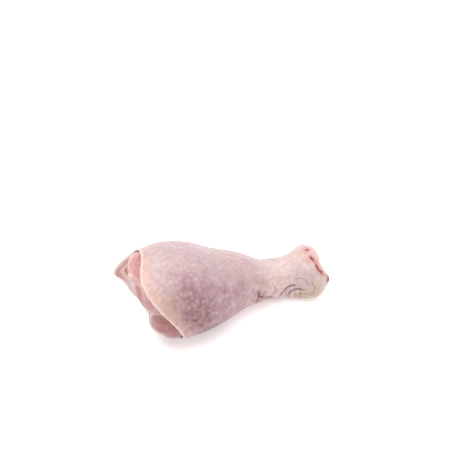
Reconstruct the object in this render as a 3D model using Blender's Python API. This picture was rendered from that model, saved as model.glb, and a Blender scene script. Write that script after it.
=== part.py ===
"""Raw chicken drumstick: a sleeve of skin, the meat inside it, and the leg bone that runs through both.

The leg lies along X, with the knee cut facing -X and the hock +X. -Y is the near side and +Z is up.
Angles round the leg are in degrees: 0 is the near side, 90 the top, 180 the far side, 270 the underside.
The leg is drawn in millimetres from its thickest part, and put in metres with its origin under its middle.
"""

import math

import bpy
import numpy as np

MM = 0.001

# Leg outline: half widths, and the places along the leg where they belong.
BELLY_X = -8.6
BELLY_HALF_WIDTH = 28.1
BELLY_FLATNESS = 0.96          # height over width of the thick end
DOME_LENGTH = 50.0             # how fast the thick end closes towards the knee
CALF_TAPER = 1.37
ANKLE_X = 52.8
SHANK_HALF_WIDTH = 12.1
KNUCKLE_X = 77.8
KNUCKLE_LENGTH = 14.3
KNUCKLE_HALF_WIDTH = 15.3
ROUNDNESS = 2.15               # exponent of the oval cross-section: 2 is an ellipse
FLOOR_SINK = 1.5               # how much of the underside is pressed flat
FLOOR_BLEND = 0.8
ANKLE_LIFT = 2.0               # the shank's underside stands this far off the floor

# Skin: thickness, and where each rim lies along the leg at each angle.
SKIN = 1.4
KNEE_RIM = ((-30, -6.8), (8, -13.8), (30, -20.4), (58, -24.3), (112, -17.8), (150, -18.2), (183, -29.3),
            (212, -23.4), (245, -12.0), (290, -7.0))
HOCK_RIM = ((-14, 81.8), (18, 85.0), (52, 81.4), (88, 82.8), (122, 81.4), (160, 80.5), (230, 81.0),
            (300, 80.5))

# Meat: where its side turns in to the cut face at each angle, and the muscle ends on that face.
GAP = 0.35
MEAT_SHOULDER = ((-35, -8.0), (58, -19.5), (118, -16.5), (182, -19.5), (250, -10.0))
FACE_X = -19.0
MUSCLE_ENDS = (                # across, up, spread, rise above the face
    (13, 36, 11, 6.5),
    (-12, 35, 9, 6.0),
    (-9, 17, 10, 3.4),
    (14, 15, 8, 3.0),
)
MEAT_BULGE = 1.2               # how far the bare meat swells out, starting BARE_FROM beyond the rim
BARE_FROM = 2.4
FACE_LEAN, LEAN_BELOW = 0.13, 25.0  # how steeply the face draws back towards the hock below that height
FACE_SQUARENESS = 2.6          # exponent of the dome from the meat's side to its face
MEAT_END_X = 73.5              # the meat stops here, inside the knuckle

# Bone: the shaft, the knee head at the bottom of the cut, and the two-lobed hock cartilage.
SHAFT_RADIUS = 4.2
HEAD_END_X = -18.5
HEAD_HALF = (9.0, 8.0)
HOCK_END_X = 85.6
HOCK_HALF = (12.0, 12.0)
HOCK_GROOVE = 0.12             # share of the height that the groove between the lobes takes
HOCK_DOME = 5.5
HEAD_DOME = 4.0
BONE_FLARE_X = 66.0            # the shaft starts to widen here, and is at full width FLARE_LENGTH further on
FLARE_LENGTH = 12.0
BONE_STATIONS = (-13.0, -10.0, -7.0, -4.0, -1.0, 20.0, 40.0, 60.0, 66.0, 68.0, 70.0, 72.0, MEAT_END_X)

# Facets: the skin and the meat share their rings from the belly to the knuckle, which keeps the gap even.
COLUMNS = 32
KNEE_RINGS = 9
SHARED_RINGS = (2.0, 71.0, 18)


def smooth(t):
    """A ramp from 0 to 1 with level ends."""
    t = np.clip(t, 0.0, 1.0)
    return t * t * (3.0 - 2.0 * t)


def hump(x, middle, spread):
    """A bell curve of height 1."""
    return np.exp(-((x - middle) / spread) ** 2)


def around(stations, angle):
    """A smooth closed curve through (angle, value) stations: cubic pieces that share slopes where they meet."""
    places, values = np.array(stations, dtype=float).T
    spans = np.diff(places, append=places[0] + 360.0)
    rises = np.roll(values, -1) - values
    slopes = (rises / spans + np.roll(rises / spans, 1)) / 2.0
    turned = (np.asarray(angle, dtype=float) - places[0]) % 360.0
    left = np.searchsorted(places - places[0], turned, side="right") - 1
    right = (left + 1) % len(places)
    t = (turned - (places - places[0])[left]) / spans[left]
    bend_out = slopes[left] * spans[left] - rises[left]
    bend_in = slopes[right] * spans[left] - rises[left]
    return values[left] + rises[left] * t + t * (1.0 - t) * (bend_out * (1.0 - t) - bend_in * t)


def half_width(x):
    """Half of the leg's width: a domed thick end, a tapering calf, the shank and the knuckle."""
    along = np.clip((x - BELLY_X) / (ANKLE_X - BELLY_X), 0.0, 1.0)
    towards_knee = np.clip((BELLY_X - x) / DOME_LENGTH, 0.0, 1.0)
    taper, dome = np.cos(along * math.pi / 2), np.cos(towards_knee * math.pi / 2)
    calf = np.where(x > BELLY_X, taper**CALF_TAPER, dome)
    knuckle = smooth((x - KNUCKLE_X) / KNUCKLE_LENGTH + 1.0) * (1.0 - 0.5 * smooth((x - KNUCKLE_X) / 13.0))
    grown = (BELLY_HALF_WIDTH - SHANK_HALF_WIDTH) * calf + (KNUCKLE_HALF_WIDTH - SHANK_HALF_WIDTH) * knuckle
    return SHANK_HALF_WIDTH + grown


def half_height(x):
    """Half of the leg's height: the thick end is a little flattened and the shank is round."""
    return half_width(x) * (BELLY_FLATNESS + (1.0 - BELLY_FLATNESS) * smooth((x - 20.0) / 24.0))


def centre(x):
    """The middle of the leg across and up, which sways a little from the thick end to the knuckle."""
    across = 2.85 * hump(x, 36.0, 15.7) - 3.9 * smooth((x - 60.0) / 14.0) + 3.0 * smooth((-14.0 - x) / 14.0)
    lifted = ANKLE_LIFT * hump(x, 44.0, 12.0) + 1.5 * smooth((-12.0 - x) / 16.0)
    return across, half_height(x) - FLOOR_SINK + lifted


def rest_on(height, floor):
    """Heights below the floor are brought up to it, with a short rounded blend."""
    above = height - floor
    blended = (above + FLOOR_BLEND) ** 2 / (4.0 * FLOOR_BLEND)
    return floor + np.where(above > FLOOR_BLEND, above, np.where(above < -FLOOR_BLEND, 0.0, blended))


def leg_point(x, angle, inset=0.0):
    """Points on the oval round the leg at x, drawn in by inset on every side."""
    turn = np.radians(angle)
    c, s = np.cos(turn), np.sin(turn)
    reach = (np.abs(c) ** ROUNDNESS + np.abs(s) ** ROUNDNESS) ** (-1.0 / ROUNDNESS)
    across, up = centre(x)
    y = across - (half_width(x) - inset) * reach * c
    z = rest_on(up + (half_height(x) - inset) * reach * s, inset)
    return np.stack(np.broadcast_arrays(x, y, z), axis=-1)


def bone_half(x):
    """Half width and half height of the bone at x."""
    head = smooth((-x - 1.0) / 9.0)
    hock = smooth((x - BONE_FLARE_X) / FLARE_LENGTH)
    return [SHAFT_RADIUS + (h - SHAFT_RADIUS) * head + (k - SHAFT_RADIUS) * hock
            for h, k in zip(HEAD_HALF, HOCK_HALF)]


def bone_point(x, angle, grown=0.0, shrink=1.0):
    """Points round the bone at x; the groove nips the hock end's top and bottom."""
    turn = np.radians(angle)
    wide, tall = bone_half(x)
    nip = HOCK_GROOVE * smooth((x - BONE_FLARE_X) / FLARE_LENGTH) * np.exp(-(np.cos(turn) / 0.42) ** 2)
    across, up = centre(x)
    y = across - (wide * shrink + grown) * np.cos(turn)
    z = up + (tall * shrink * (1.0 - nip) + grown) * np.sin(turn)
    return np.stack(np.broadcast_arrays(x, y, z), axis=-1)


def face_x(y, z):
    """The cut face: a rounded rise over each muscle's end on a plane that leans back in its lower part."""
    rise = sum(height * np.exp(-((y - across) ** 2 + (z - up) ** 2) / spread**2)
               for across, up, spread, height in MUSCLE_ENDS)
    return FACE_X - rise + FACE_LEAN * np.maximum(0.0, LEAN_BELOW - z)


def column_angles():
    """Angles of the columns round the leg, as one row."""
    return np.linspace(0.0, 360.0, COLUMNS, endpoint=False)[None, :]


def steps(count):
    """Even steps from 0 to 1, as one column."""
    return np.linspace(0.0, 1.0, count)[:, None]


def ring_places(start, end, end_rings):
    """Where the rings lie along the leg: from start over the shared rings to end."""
    first, last, count = SHARED_RINGS
    shared = first + (last - first) * steps(count)
    knee_end = start + (first - start) * steps(KNEE_RINGS)[:-1]
    hock_end = last + (end - last) * steps(end_rings)[1:]
    return np.concatenate([np.broadcast_to(x, (len(x), COLUMNS)) for x in (knee_end, shared, hock_end)])


def skin_rings():
    """Rings down the outside from knee to hock and back up the inside, with a rounded rim at each end."""
    angle = column_angles()
    knee, hock = around(KNEE_RIM, angle), around(HOCK_RIM, angle)
    x = ring_places(knee, hock, 5)
    outside, inside = leg_point(x, angle), leg_point(x, angle, SKIN)
    hock_rim = (outside[-1:] + inside[-1:]) / 2 + (0.45 * SKIN, 0.0, 0.0)
    knee_rim = (outside[:1] + inside[:1]) / 2 - (0.45 * SKIN, 0.0, 0.0)
    return np.concatenate((outside, hock_rim, inside[::-1], knee_rim))


def meat_side(angle):
    """The meat's side, which fills the skin and swells a little where it leaves it."""
    x = ring_places(around(MEAT_SHOULDER, angle), MEAT_END_X, 2)
    bare = smooth((around(KNEE_RIM, angle) - BARE_FROM - x) / 4.0)
    return leg_point(x, angle, SKIN + GAP - MEAT_BULGE * bare)


def meat_face(edge, pit):
    """The cut face from the bone's pit out to the meat's side: a flat dome with the muscles' ends on it."""
    out = np.sin(steps(9)[:-1] * math.pi / 2)
    y = pit[..., 1] + (edge[..., 1] - pit[..., 1]) * out
    z = pit[..., 2] + (edge[..., 2] - pit[..., 2]) * out
    dome = np.sqrt(1.0 - out**FACE_SQUARENESS)
    x = edge[..., 0] + (face_x(y, z) - edge[..., 0]) * dome
    return np.stack(np.broadcast_arrays(x, y, z), axis=-1)


def meat_rings():
    """Rings out over the cut face, along the side, and back through the hole round the bone."""
    angle = column_angles()
    side = meat_side(angle)
    hole = bone_point(np.array((*BONE_STATIONS[::-1], HEAD_END_X + HEAD_DOME / 3.0))[:, None], angle, GAP)
    return np.concatenate((meat_face(side[:1], hole[-1:]), side, hole))


def bone_rings():
    """Rings along the bone, closed to a rounded dome at both ends."""
    angle = column_angles()
    head_dome = np.sin(steps(5)[1:] * math.pi / 2)
    hock_dome = head_dome[::-1]
    shaft_x = np.array((*BONE_STATIONS, 75.5, 78.0))[:, None]
    head_x = HEAD_END_X + HEAD_DOME * (1.0 - np.sqrt(1.0 - head_dome**2))
    hock_x = HOCK_END_X - HOCK_DOME * (1.0 - np.sqrt(1.0 - hock_dome**2))
    return np.concatenate((
        bone_point(head_x, angle, shrink=head_dome),
        bone_point(shaft_x, angle),
        bone_point(hock_x, angle, shrink=hock_dome),
    ))


def loft(rings, joined):
    """Corners and faces over rings; joined makes the last ring meet the first, else both ends are fanned."""
    count, columns = rings.shape[:2]
    corners = rings.reshape(-1, 3)
    first = np.arange(count if joined else count - 1)[:, None] * columns
    here = np.arange(columns)[None, :]
    after = (here + 1) % columns
    second = (first + columns) % (count * columns)
    quads = np.stack((first + here, second + here, second + after, first + after), axis=-1)
    faces = quads.reshape(-1, 4).tolist()
    if not joined:
        tips = (rings[0].mean(axis=0), rings[-1].mean(axis=0))
        corners = np.vstack((corners, tips))
        start, end = count * columns, count * columns + 1
        last = (count - 1) * columns
        faces += [(start, i, (i + 1) % columns) for i in range(columns)]
        faces += [(end, last + (i + 1) % columns, last + i) for i in range(columns)]
    return corners, faces


def material(name, colour, roughness):
    """A plain finish for one node."""
    made = bpy.data.materials.new(name)
    made.use_nodes = True
    surface = made.node_tree.nodes["Principled BSDF"]
    surface.inputs["Base Color"].default_value = (*colour, 1.0)
    surface.inputs["Roughness"].default_value = roughness
    surface.inputs["Metallic"].default_value = 0.0
    return made


def add_node(name, corners, faces, colour, roughness):
    """One named solid with its own material."""
    mesh = bpy.data.meshes.new(name)
    mesh.from_pydata(corners.tolist(), [], faces)
    mesh.materials.append(material(name, colour, roughness))
    mesh.shade_smooth()
    mesh.update()
    bpy.context.scene.collection.objects.link(bpy.data.objects.new(name, mesh))


def main():
    """Builds the three solids and puts the origin under the middle of the leg."""
    for old in list(bpy.data.objects):
        bpy.data.objects.remove(old)
    shapes = {
        "skin": (*loft(skin_rings(), True), (0.72, 0.53, 0.51), 0.42),
        "meat": (*loft(meat_rings(), True), (0.60, 0.25, 0.23), 0.35),
        "bone": (*loft(bone_rings(), False), (0.72, 0.68, 0.70), 0.3),
    }
    everything = np.vstack([shape[0] for shape in shapes.values()])
    low, high = everything.min(axis=0), everything.max(axis=0)
    origin = np.array(((low[0] + high[0]) / 2, (low[1] + high[1]) / 2, low[2]))
    for name, (corners, faces, colour, roughness) in shapes.items():
        add_node(name, (corners - origin) * MM, faces, colour, roughness)


main()
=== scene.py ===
"""Raw chicken drumstick: the fine skin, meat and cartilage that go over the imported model, on a pale stage.

The leg is worked out in millimetres, along X from the knee cut to the hock, with -Y the near side and +Z up.
X is 0 in the thick part of the calf. Angles round the leg are in degrees: 0 near side, 90 top, 180 far side,
270 underside.
"""

import itertools
import math

import bpy
import numpy as np
from bpy.props import FloatProperty, FloatVectorProperty, IntProperty, PointerProperty
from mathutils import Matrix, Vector


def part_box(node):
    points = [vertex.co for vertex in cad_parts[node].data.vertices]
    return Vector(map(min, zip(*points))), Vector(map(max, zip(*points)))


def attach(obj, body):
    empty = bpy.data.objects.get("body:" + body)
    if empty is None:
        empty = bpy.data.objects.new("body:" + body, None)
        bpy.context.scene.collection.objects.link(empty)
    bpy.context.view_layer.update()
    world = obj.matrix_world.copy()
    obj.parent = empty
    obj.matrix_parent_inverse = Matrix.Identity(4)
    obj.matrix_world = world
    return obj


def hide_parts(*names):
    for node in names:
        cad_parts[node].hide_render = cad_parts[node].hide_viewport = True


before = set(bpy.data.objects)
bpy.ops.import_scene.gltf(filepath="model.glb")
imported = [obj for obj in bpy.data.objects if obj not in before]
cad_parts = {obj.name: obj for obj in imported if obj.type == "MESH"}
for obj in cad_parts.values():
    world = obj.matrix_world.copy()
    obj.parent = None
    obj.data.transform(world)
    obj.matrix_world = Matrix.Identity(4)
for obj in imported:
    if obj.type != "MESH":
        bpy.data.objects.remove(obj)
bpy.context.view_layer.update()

bl_info = {
    "name": "Raw chicken drumstick",
    "version": (1, 0, 0),
    "blender": (4, 5, 0),
    "location": "3D View > Sidebar > Drumstick",
    "description": "Builds a raw chicken drumstick with its skin, meat and cartilage",
    "category": "Add Mesh",
}

MM = 0.001

# The leg's outline in millimetres. A rim or a shoulder is a closed line of (angle, place along).
BELLY_X, BELLY_HALF_WIDTH, BELLY_FLATNESS = -8.6, 28.1, 0.96
DOME_LENGTH, CALF_TAPER = 50.0, 1.37
ANKLE_X, SHANK_HALF_WIDTH = 52.8, 12.1
KNUCKLE_X, KNUCKLE_LENGTH, KNUCKLE_HALF_WIDTH = 77.8, 14.3, 15.3
ROUNDNESS = 2.15
FLOOR_SINK, FLOOR_BLEND, ANKLE_LIFT, KNEE_LIFT = 1.5, 0.8, 2.0, 1.5
CALF_SWAY, HOCK_SWAY, KNEE_SWAY = 2.85, -3.9, 3.0
KNEE_RIM = ((-30, -6.8), (8, -13.8), (30, -20.4), (58, -24.3), (112, -17.8), (150, -18.2), (183, -29.3),
            (212, -23.4), (245, -12.0), (290, -7.0))
HOCK_RIM = ((-14, 81.8), (18, 85.0), (52, 81.4), (88, 82.8), (122, 81.4), (160, 80.5), (230, 81.0),
            (300, 80.5))
MEAT_SHOULDER = ((-35, -8.0), (58, -19.5), (118, -16.5), (182, -19.5), (250, -10.0))
MEAT_END_X, GAP = 73.5, 0.35
FACE_X = -18.5
SHAFT_RADIUS, BONE_FLARE_X, FLARE_LENGTH = 4.2, 66.0, 12.0
HEAD_END_X, HEAD_DOME, HEAD_HALF = -18.5, 4.0, (9.0, 8.0)
PIT_X = HEAD_END_X + HEAD_DOME / 3.0
HOCK_END_X, HOCK_DOME, HOCK_HALF, HOCK_NOTCH = 85.6, 5.5, (13.0, 12.5), 0.2

# Creases in the skin: width, share of the full depth, and the (place along the leg, angle) points on the way.
CREASES = (
    (0.62, 1.0, ((56.5, -24), (59.5, 3), (63.1, 18), (67.3, 20))),
    (0.62, 1.0, ((61.5, -34), (63.1, -4), (66.7, 8), (71.0, 0))),
    (0.45, 0.45, ((65.4, 34), (68.7, 39), (71.3, 28), (72.6, 6))),
    (0.4, 0.6, ((58.5, -30), (61.2, 0), (64.0, 11), (66.0, 13))),
    (0.4, 0.55, ((66.5, -30), (67.5, -10), (71.5, -12), (75.0, -4))),
    (0.45, 0.5, ((73.8, 24), (75.4, 8), (75.0, -14), (72.0, -26))),
    (0.5, 0.6, ((50.5, -30), (52.0, -5), (54.5, 12), (53.0, 30))),
    (0.45, 0.5, ((60.0, 225), (63.5, 205), (67.5, 200), (70.0, 215))),
    (0.5, 0.7, ((56.0, 250), (60.5, 232), (65.0, 236), (69.0, 250))),
    (0.45, 0.5, ((62.0, 300), (64.0, 280), (68.0, 276), (72.0, 290))),
    (0.5, 0.5, ((44.0, 190), (45.5, 215), (44.0, 240), (46.0, 262))),
)
ANKLE_CREASES = (
    (1.2, 0.9, ((41.8, -34), (42.8, -18), (43.8, -4), (43.6, 6), (42.8, 13))),
    (0.8, 0.75, ((43.4, -6), (46.0, -9), (49.5, -11), (54.0, -15))),
    (0.6, 0.55, ((45.0, -20), (46.6, 0), (47.4, 14))),
    (0.55, 0.45, ((39.6, -14), (40.4, 4), (39.4, 18))),
)

# Swellings of the skin: place along, angle, length, breadth in degrees, rise.
SWELLINGS = (
    (39.0, 2, 4.5, 34, 0.8),
    (49.5, 4, 4.5, 36, 0.8),
    (57.5, 28, 4.5, 24, 0.5),
    (66.5, 46, 5.0, 22, 0.5),
    (74.5, 2, 4.5, 24, 0.6),
    (71.5, 98, 5.5, 32, 0.5),
    (74.0, 215, 6.0, 40, 0.5),
    (50.0, 150, 5.0, 30, 0.4),
)
# Knife cuts in the skin of the hock, as the points they run through.
HOCK_CUTS = (
    ((76.6, 100), (78.9, 97)),
    ((77.4, 79), (78.2, 64)),
    ((78.6, 58), (79.3, 45), (81.2, 33)),
)

# The flap on the far side: its middle angle, and where its edge is drawn out (+) or in (-) by a bell round
# the leg: middle, breadth in degrees, reach.
FLAP_ANGLE = 178.0
FLAP_EDGE = ((230, 14, 0.7), (200, 12, -1.5), (179, 5, 0.5), (162, 10, -1.0))

# Tints of the skin, as soft patches: strength, place along, angle, length, breadth in degrees.
TINTS = {
    # The mauve patches at 332 and 290 degrees and the deep mauve patch at 322 degrees are painted shade on
    # the belly's lower side; the others are the skin's own tints.
    "mauve": ((1.5, -1.5, 18, 14.5, 42), (0.8, 16.0, 4, 17.0, 40), (1.0, 4.0, 332, 30.0, 30),
              (0.35, 6.0, 205, 20.0, 48), (0.7, 8.0, 290, 24.0, 40), (0.45, 29.0, 36, 9.0, 30)),
    "bruise_and_shade": ((1.6, 1.0, 6, 11.0, 21), (0.7, 8.0, 322, 13.0, 24)),
    # Painted shade where the skin folds: at the ankle's notch, under the ankle and beside the knuckle's
    # creases.
    "ankle_fold_shade": ((1.5, 43.0, -2, 4.5, 26), (0.6, 46.0, 232, 6.0, 40), (0.8, 66.5, 14, 3.5, 16)),
    "knuckle": ((1.0, 69.5, 36, 8.0, 36), (0.6, 70.0, 215, 8.0, 60), (0.5, 13.0, 68, 11.0, 22)),
    "callus": ((1.3, 75.5, 0, 5.5, 24), (0.9, 70.0, -20, 6.0, 18), (0.45, 79.0, 10, 4.0, 17),
               (0.8, 75.0, 290, 7.0, 60)),
    "ochre": ((1.1, -13.5, 31, 5.5, 13), (0.9, 44.5, 36, 4.5, 15), (0.4, 41.0, -8, 3.5, 20),
              (0.4, 50.0, 210, 5.0, 40)),
    "warm": ((1.0, 74.0, 92, 8.0, 40), (0.6, 56.0, 38, 7.0, 28), (0.4, 30.0, 100, 8.0, 30),
             (0.6, 66.0, 170, 10.0, 40)),
    "hock_pale": ((0.6, 80.0, 95, 5.0, 45), (0.7, 81.0, 24, 3.0, 13)),
    # Painted shadow of the open end at the hock's tip.
    "tip_shadow": ((1.5, 84.4, 20, 1.3, 9),),
}
# How evenly each tint lies: its plain share, and how much broad and fine noise add to it.
UNEVEN = {
    "mauve": (0.9, 0.45, 0.15),
    "bruise_and_shade": (0.85, 0.5, 0.0),
    "ankle_fold_shade": (0.8, 0.5, 0.0),
    "fat_band": (0.9, 0.0, 0.4),
    "cream": (0.9, 0.3, 0.0),
    "knuckle": (0.85, 0.4, 0.0),
    "callus": (0.7, 0.6, 0.2),
    "ochre": (0.8, 0.0, 0.6),
    "warm": (0.85, 0.0, 0.5),
    "hock_pale": (0.85, 0.0, 0.3),
    "tip_shadow": (1.0, 0.0, 0.6),
}

# Muscle ends on the cut face: across, up, half length, half breadth, lean in degrees, rise. The face also
# leans back towards the bottom, below a height.
MUSCLES = {
    "calf_far": (14.0, 37.0, 19.0, 13.5, 0.0, 7.8),
    "calf_band": (-9.0, 33.5, 21.0, 9.0, -42.0, 6.6),
    "shin": (-14.0, 17.0, 16.0, 12.0, -22.0, 5.4),
    "calf_low": (13.0, 14.0, 12.0, 12.0, 20.0, 4.6),
}
FACE_LEAN, LEAN_BELOW = 0.13, 25.0

# Rows of points: outside and inside the skin, over the cut face, along the meat that shows and that is
# hidden, and over each end of the bone.
SKIN_ROWS, INNER_ROWS = 240, 60
FACE_ROWS, SHOWN_ROWS, HIDDEN_ROWS = 96, 60, 26
DOME_ROWS = 40


def paint(red, green, blue):
    """A colour given as 0 to 255 screen values, in the linear values that materials use."""
    shares = (red / 255, green / 255, blue / 255)
    return tuple(v / 12.92 if v < 0.0404 else ((v + 0.055) / 1.055) ** 2.4 for v in shares)


def colour_setting(name, description, *screen):
    """A colour property with its default in screen values."""
    return FloatVectorProperty(name=name, description=description, default=paint(*screen), size=3,
                               subtype="COLOR", min=0.0, max=1.0)


def length_setting(name, description, millimetres):
    """A length property with its default in millimetres."""
    return FloatProperty(name=name, description=description, default=millimetres * MM, min=0.0, unit="LENGTH",
                         precision=5)


class DrumstickSizes(bpy.types.PropertyGroup):
    """Sizes that a user would change."""

    skin: length_setting("Skin", "Thickness of the skin", 1.4)
    pore_spacing: length_setting("Pore spacing", "Distance between feather pores", 3.3)
    pore_width: length_setting("Pore width", "Radius of the raised skin round a feather pore", 0.95)
    pore_height: length_setting("Pore height", "How far the skin rises at a feather pore", 0.3)
    crease_depth: length_setting("Crease depth", "Depth of the folds at the knuckle", 0.75)
    fold_depth: length_setting("Ankle fold depth", "Depth of the deep fold at the ankle", 1.2)
    cut_depth: length_setting("Cut depth", "Depth of the knife cuts at the hock", 1.15)
    fibre_height: length_setting("Fibre height", "Relief of the muscle fibres", 0.12)
    columns: IntProperty(name="Columns", description="Grid columns round the leg", default=320, min=64)


class DrumstickColours(bpy.types.PropertyGroup):
    """Colours that a user would change."""

    skin: colour_setting("Skin", "Pink of the skin", 205, 184, 186)
    pale: colour_setting("Pale skin", "Skin round the feather pores", 224, 207, 204)
    # Mauve is also painted shade on the belly's lower side. Deep mauve is painted shade there and in the
    # creases and folds.
    mauve: colour_setting("Mauve", "Skin with dark meat showing through", 146, 101, 112)
    bruise_and_shade: colour_setting("Deep mauve", "Darkest skin on the belly", 113, 54, 64)
    peach: colour_setting("Peach", "Skin over fat near the knee", 217, 179, 162)
    ochre: colour_setting("Ochre", "Yellowed skin beside the belly", 175, 139, 119)
    cream: colour_setting("Cream", "Skin along the shank", 219, 199, 192)
    lavender: colour_setting("Lavender", "Thin skin over the knuckle", 184, 166, 172)
    callus: colour_setting("Callus", "Yellow skin where the scales begin", 168, 155, 117)
    flap: colour_setting("Flap", "Inner side of the skin near its free edge", 204, 165, 159)
    # Painted shadow of the open end at the hock's tip.
    tip_shadow: colour_setting("Dark tip", "Bruised tip of the skin at the hock", 108, 60, 50)
    fat: colour_setting("Fat", "Fat under the skin and along its rim", 222, 204, 194)
    membrane: colour_setting("Membrane", "Thin translucent edge of the skin", 226, 214, 213)
    blood: colour_setting("Blood", "Reddened skin round the cuts", 198, 118, 110)
    # The cut colour is also the painted shade on the meat beside the skin's rim.
    cut: colour_setting("Cut", "Blood in the knife cuts", 122, 36, 37)
    salmon: colour_setting("Salmon", "Bright muscle", 194, 125, 121)
    muscle: colour_setting("Muscle", "Plain muscle", 172, 103, 99)
    dark_muscle: colour_setting("Dark muscle", "Shin muscle", 138, 68, 66)
    silver: colour_setting("Silver skin", "Thin tissue over the muscles", 208, 186, 184)
    cartilage: colour_setting("Cartilage", "Cartilage at the joints", 199, 193, 202)
    sinew: colour_setting("Sinew", "Tissue round the joint", 202, 166, 157)
    floor: colour_setting("Floor", "The surface it lies on", 250, 250, 250)


# ---------------------------------------------------------------- shape of the leg


def smooth(t):
    """A ramp from 0 to 1 with level ends."""
    t = np.clip(t, 0.0, 1.0)
    return t * t * (3.0 - 2.0 * t)


def hump(x, middle, spread):
    """A bell curve of height 1."""
    return np.exp(-((x - middle) / spread) ** 2)


def around(stations, angle):
    """A smooth closed curve through (angle, value) stations: cubic pieces that meet with the same slope."""
    places, values = np.array(stations, dtype=float).T
    spans = np.diff(places, append=places[0] + 360.0)
    rises = np.roll(values, -1) - values
    slopes = (rises / spans + np.roll(rises / spans, 1)) / 2.0
    turned = (np.asarray(angle, dtype=float) - places[0]) % 360.0
    left = np.searchsorted(places - places[0], turned, side="right") - 1
    right = (left + 1) % len(places)
    t = (turned - (places - places[0])[left]) / spans[left]
    bend_out = slopes[left] * spans[left] - rises[left]
    bend_in = slopes[right] * spans[left] - rises[left]
    return values[left] + rises[left] * t + t * (1.0 - t) * (bend_out * (1.0 - t) - bend_in * t)


def half_width(x):
    """Half of the leg's width: a domed thick end, a tapering calf, the shank and the knuckle."""
    along = np.clip((x - BELLY_X) / (ANKLE_X - BELLY_X), 0.0, 1.0)
    towards_knee = np.clip((BELLY_X - x) / DOME_LENGTH, 0.0, 1.0)
    taper, dome = np.cos(along * math.pi / 2) ** CALF_TAPER, np.cos(towards_knee * math.pi / 2)
    calf = np.where(x > BELLY_X, taper, dome)
    knuckle = smooth((x - KNUCKLE_X) / KNUCKLE_LENGTH + 1.0) * (1.0 - 0.5 * smooth((x - KNUCKLE_X) / 13.0))
    grown = (BELLY_HALF_WIDTH - SHANK_HALF_WIDTH) * calf + (KNUCKLE_HALF_WIDTH - SHANK_HALF_WIDTH) * knuckle
    return SHANK_HALF_WIDTH + grown


def half_height(x):
    """Half of the leg's height: the thick end is a little flattened and the shank is round."""
    return half_width(x) * (BELLY_FLATNESS + (1.0 - BELLY_FLATNESS) * smooth((x - 20.0) / 24.0))


def centre(x):
    """The middle of the leg across and up: it sways at calf, hock and knee, and lifts at ankle and knee."""
    across = CALF_SWAY * hump(x, 36.0, 15.7) + HOCK_SWAY * smooth((x - 60.0) / 14.0)
    across = across + KNEE_SWAY * smooth((-14.0 - x) / 14.0)
    lifted = ANKLE_LIFT * hump(x, 44.0, 12.0) + KNEE_LIFT * smooth((-12.0 - x) / 16.0)
    return across, half_height(x) - FLOOR_SINK + lifted


def rest_on(height, floor):
    """Heights below the floor are brought up to it, with a short rounded blend."""
    above = height - floor
    blended = (above + FLOOR_BLEND) ** 2 / (4.0 * FLOOR_BLEND)
    return floor + np.where(above > FLOOR_BLEND, above, np.where(above < -FLOOR_BLEND, 0.0, blended))


def leg_point(x, angle, inset=0.0):
    """Points on the oval round the leg at x, drawn in by inset on every side."""
    turn = np.radians(angle)
    c, s = np.cos(turn), np.sin(turn)
    reach = (np.abs(c) ** ROUNDNESS + np.abs(s) ** ROUNDNESS) ** (-1.0 / ROUNDNESS)
    across, up = centre(x)
    y = across - (half_width(x) - inset) * reach * c
    z = rest_on(up + (half_height(x) - inset) * reach * s, inset)
    return np.stack(np.broadcast_arrays(x, y, z), axis=-1)


def bone_half(x):
    """Half width and half height of the bone at x: a plain shaft that swells to the head and to the hock."""
    head = smooth((-x - 1.0) / 9.0)
    hock = smooth((x - BONE_FLARE_X) / FLARE_LENGTH)
    return [SHAFT_RADIUS + (h - SHAFT_RADIUS) * head + (k - SHAFT_RADIUS) * hock
            for h, k in zip(HEAD_HALF, HOCK_HALF)]


# ---------------------------------------------------------------- patterns in numpy


def hashed(*whole):
    """A repeatable number from 0 to 1 for arrays of whole numbers: the fraction of a large sine."""
    mixed = sum(w * k for w, k in zip(whole, (127.1, 311.7, 74.7, 269.5)))
    return np.abs(np.sin(mixed + 0.5) * 43758.5453) % 1.0


def noise(points, size, seed=0.0):
    """Smooth noise from -1 to 1: hashed values at the corners of cells of that size, blended across them."""
    place = points / size + seed * 17.3
    cell = np.floor(place)
    part = smooth(place - cell)
    total = np.zeros(points.shape[:-1])
    for corner in itertools.product((0.0, 1.0), repeat=3):
        weight = np.prod(np.where(np.array(corner) > 0.5, part, 1.0 - part), axis=-1)
        total += weight * hashed(*(cell[..., i] + corner[i] for i in range(3)))
    return 2.0 * total - 1.0


def turned_by(angle, middle):
    """Angle from the middle, from -180 to 180."""
    return (angle - middle + 180.0) % 360.0 - 180.0


def arc(angle, middle, breadth):
    """A bell of height 1 round the leg, about its middle angle."""
    return hump(turned_by(angle, middle), 0.0, breadth)


def patch(x, angle, place, middle, length, breadth):
    """A soft oval patch on the leg's side: 1 in the middle, falling as a bell along and round the leg."""
    return np.exp(-((x - place) / length) ** 2 - (turned_by(angle, middle) / breadth) ** 2)


def pores(x, angle, spacing, width):
    """Raised dots in staggered rows round the leg: the highest of the bells of the nine nearest pores.

    A row is 0.87 spacings along from the last, holds as many pores as fit its girth, and each pore is
    shifted and sized by a hashed number."""
    step = 0.87 * spacing
    best = np.zeros(np.broadcast(x, angle).shape)
    for row_shift, pore_shift in itertools.product((-1.0, 0.0, 1.0), repeat=2):
        row = np.floor(x / step) + row_shift
        count = np.round(2.0 * math.pi * half_width((row + 0.5) * step) / spacing)
        place = angle / 360.0 * count + 0.5 * (row % 2.0)
        pore = np.floor(place) + pore_shift
        known = pore % count
        off_round = (place - pore - 0.5 - 0.55 * (hashed(row, known, 1.0) - 0.5)) / count
        off_along = x - (row + 0.5 + 0.5 * (hashed(row, known, 2.0) - 0.5)) * step
        away = np.hypot(off_along, off_round * 2.0 * math.pi * half_width(x))
        strength = 0.35 + 0.65 * hashed(row, known, 3.0)
        best = np.maximum(best, strength * np.exp(-((away / (width * (0.8 + 0.4 * strength))) ** 2)))
    return best


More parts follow.
